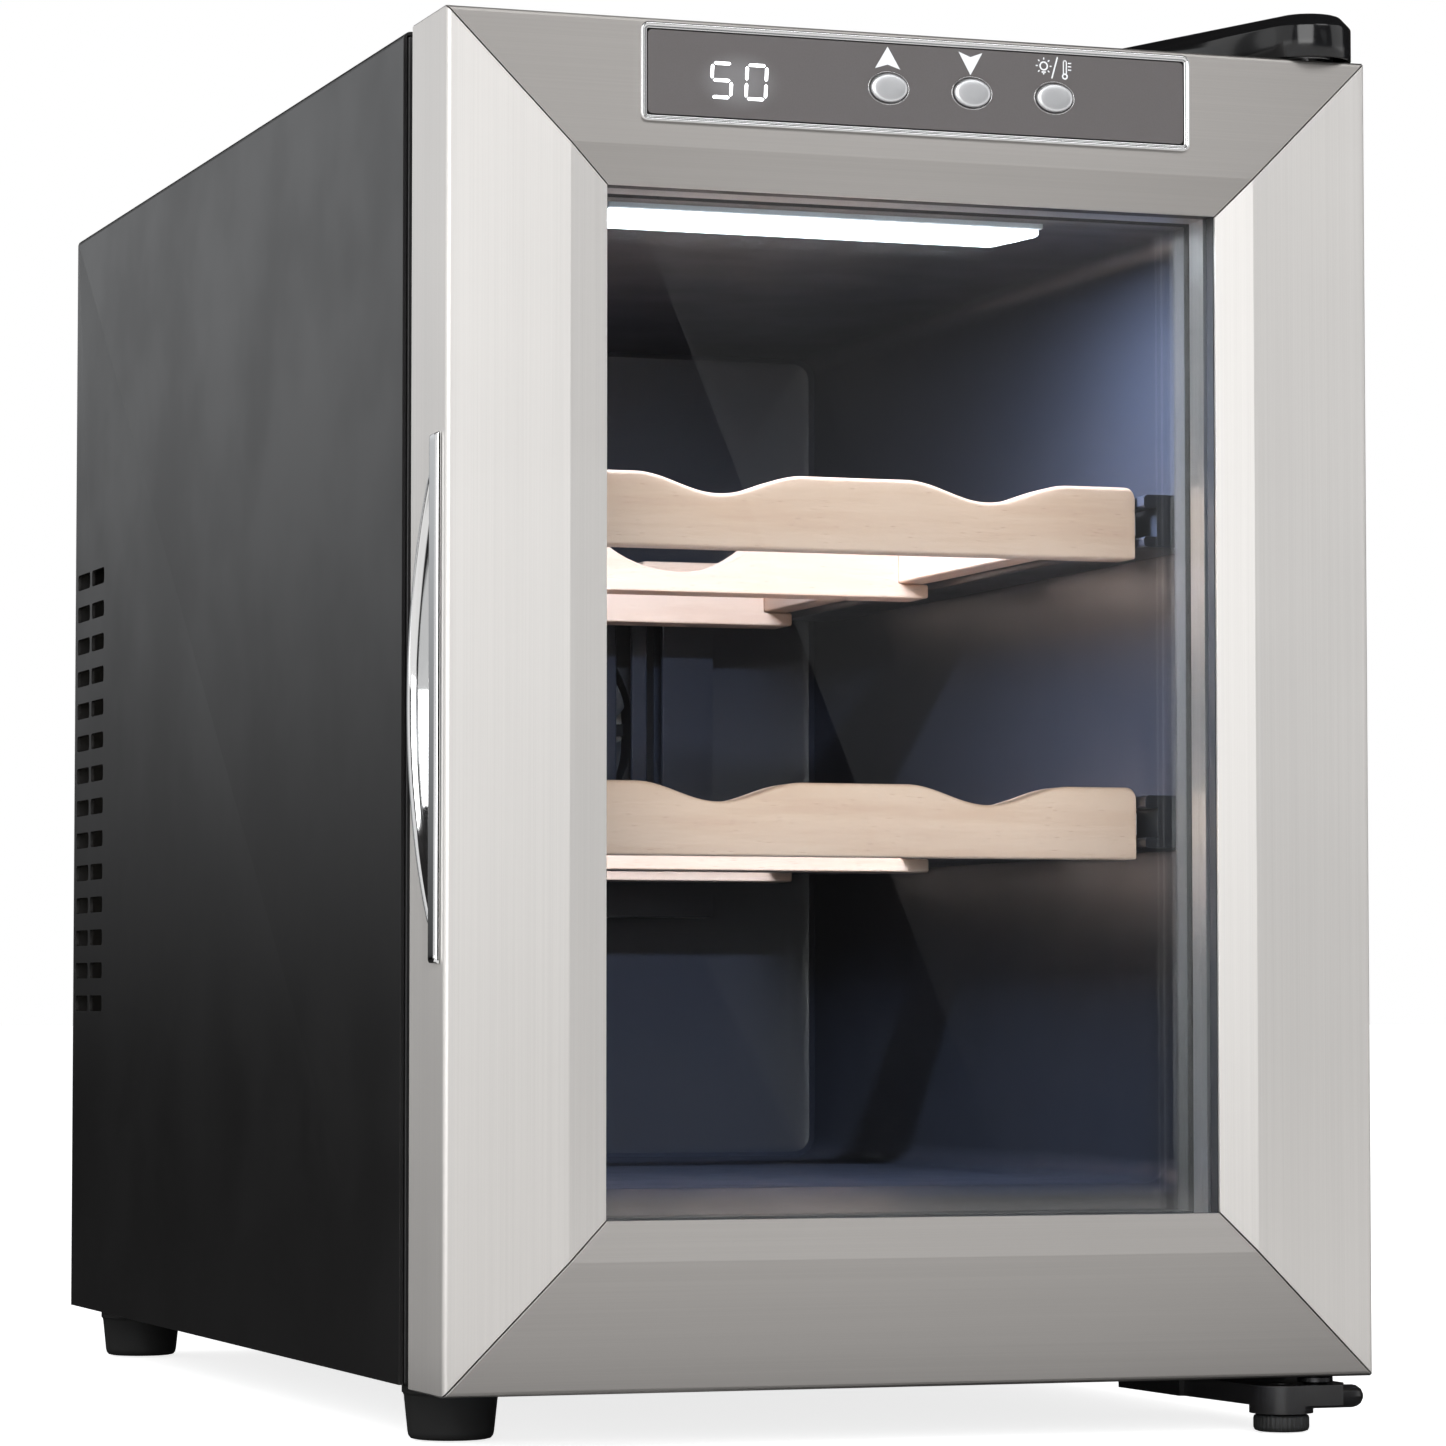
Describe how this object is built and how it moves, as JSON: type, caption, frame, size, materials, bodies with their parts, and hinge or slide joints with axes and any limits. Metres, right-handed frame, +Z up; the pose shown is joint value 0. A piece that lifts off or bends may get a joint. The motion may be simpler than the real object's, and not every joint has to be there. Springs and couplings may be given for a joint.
{
  "type": "wine cooler",
  "caption": "Free-standing countertop wine cooler with a glass door in a stainless frame, two beech slide-out shelves, a control panel, vented black cabinet and thermoelectric cooling.",
  "frame": {"origin": "centre of the footprint of the whole cooler, on the surface that it stands on", "axes": "+X to the right as seen from the front, +Y from the door to the back, +Z up"},
  "size_m": [0.2618, 0.4493, 0.383],
  "materials": {
    "black_paint": "satin black powder coat",
    "black_plastic": "fine-textured black",
    "liner_plastic": "smooth dark grey",
    "foam": "rigid foam",
    "rubber": "matt black",
    "steel": "zinc plated",
    "stainless": "brushed along each member",
    "smoked_glass": "smoked, polished",
    "clear_glass": "clear, polished",
    "aluminium": "extruded",
    "chrome": "mirror",
    "satin_chrome": "satin",
    "panel_grey": "smooth warm grey",
    "white_plastic": "satin white",
    "circuit_green": "solder mask",
    "beech": "sanded, unvarnished",
    "lamp_lens": "frosted",
    "ceramic": "unglazed white"
  },
  "bodies": {
    "cabinet": {"back_panel": "black_plastic", "bottom_hinge_bracket": "black_paint", "bottom_hinge_pin": "steel", "cabinet_base": "black_paint", "cabinet_shell": "black_paint", "cold_fan_cover": "black_plastic", "cold_fan_frame": "black_plastic", "cold_heatsink": "aluminium", "foot_front_left": "rubber", "foot_rear_left": "rubber", "foot_rear_right": "rubber", "front_frame": "black_plastic", "hot_fan_frame": "black_plastic", "hot_heatsink": "aluminium", "inner_liner": "liner_plastic", "insulation": "foam", "lamp_board": "circuit_green", "lamp_housing": "white_plastic", "lamp_lens": "lamp_lens", "peltier_module": "ceramic", "power_board": "circuit_green", "power_inlet": "black_plastic", "top_hinge_bracket": "steel", "top_hinge_cover": "black_plastic", "top_hinge_pin": "steel"},
    "door": {"control_board": "circuit_green", "digit_module": "white_plastic", "display_bezel": "chrome", "display_face": "panel_grey", "door_core": "black_plastic", "door_gasket": "rubber", "door_inner_frame": "black_plastic", "door_skin_bottom": "stainless", "door_skin_left": "stainless", "door_skin_right": "stainless", "door_skin_top": "stainless", "glass_spacer": "aluminium", "handle_cup": "chrome", "inner_glass": "clear_glass", "outer_glass": "smoked_glass"},
    "upper_shelf": {"upper_shelf_front_bar": "beech", "upper_shelf_glide_left": "white_plastic", "upper_shelf_glide_right": "white_plastic", "upper_shelf_mid_bar": "beech", "upper_shelf_rail_left": "beech", "upper_shelf_rail_right": "beech", "upper_shelf_rear_bar": "beech"},
    "lower_shelf": {"lower_shelf_front_bar": "beech", "lower_shelf_glide_left": "white_plastic", "lower_shelf_glide_right": "white_plastic", "lower_shelf_mid_bar": "beech", "lower_shelf_rail_left": "beech", "lower_shelf_rail_right": "beech", "lower_shelf_rear_bar": "beech"},
    "button_up": {"button_up": "satin_chrome"},
    "button_down": {"button_down": "satin_chrome"},
    "button_light": {"button_light": "satin_chrome"},
    "cold_fan_rotor": {"cold_fan_rotor": "black_plastic"},
    "hot_fan_rotor": {"hot_fan_rotor": "black_plastic"},
    "levelling_foot": {"levelling_foot": "rubber"}
  },
  "joints": [
    {"name": "door_hinge", "type": "hinge", "parent": "cabinet", "child": "door", "pos_m": [0.1174, -0.21265, 0.1924], "axis": [0, 0, 1], "range_deg": [0, 125]},
    {"name": "upper_shelf_slide", "type": "slide", "parent": "cabinet", "child": "upper_shelf", "axis": [0, -1, 0], "range_m": [0, 0.062]},
    {"name": "lower_shelf_slide", "type": "slide", "parent": "cabinet", "child": "lower_shelf", "axis": [0, -1, 0], "range_m": [0, 0.062]},
    {"name": "button_up_press", "type": "slide", "parent": "door", "child": "button_up", "axis": [0, 1, 0], "range_m": [0, 0.0008], "stiffness_N_per_m": 300, "springref_m": -0.0002},
    {"name": "button_down_press", "type": "slide", "parent": "door", "child": "button_down", "axis": [0, 1, 0], "range_m": [0, 0.0008], "stiffness_N_per_m": 300, "springref_m": -0.0002},
    {"name": "button_light_press", "type": "slide", "parent": "door", "child": "button_light", "axis": [0, 1, 0], "range_m": [0, 0.0008], "stiffness_N_per_m": 300, "springref_m": -0.0002},
    {"name": "cold_fan_spin", "type": "hinge", "parent": "cabinet", "child": "cold_fan_rotor", "pos_m": [0.0009, 0.14435, 0.205], "axis": [0, 1, 0], "continuous": true},
    {"name": "hot_fan_spin", "type": "hinge", "parent": "cabinet", "child": "hot_fan_rotor", "pos_m": [0.0009, 0.20935, 0.205], "axis": [0, 1, 0], "continuous": true},
    {"name": "levelling_foot_turn", "type": "hinge", "parent": "cabinet", "child": "levelling_foot", "pos_m": [0.1069, -0.21365, 0], "axis": [0, 0, 1], "continuous": true}
  ],
  "couplings": [
    {"joint": "upper_shelf_slide", "follows": "door_hinge", "m_per_rad": 0.028},
    {"joint": "lower_shelf_slide", "follows": "door_hinge", "m_per_rad": 0.028}
  ]
}
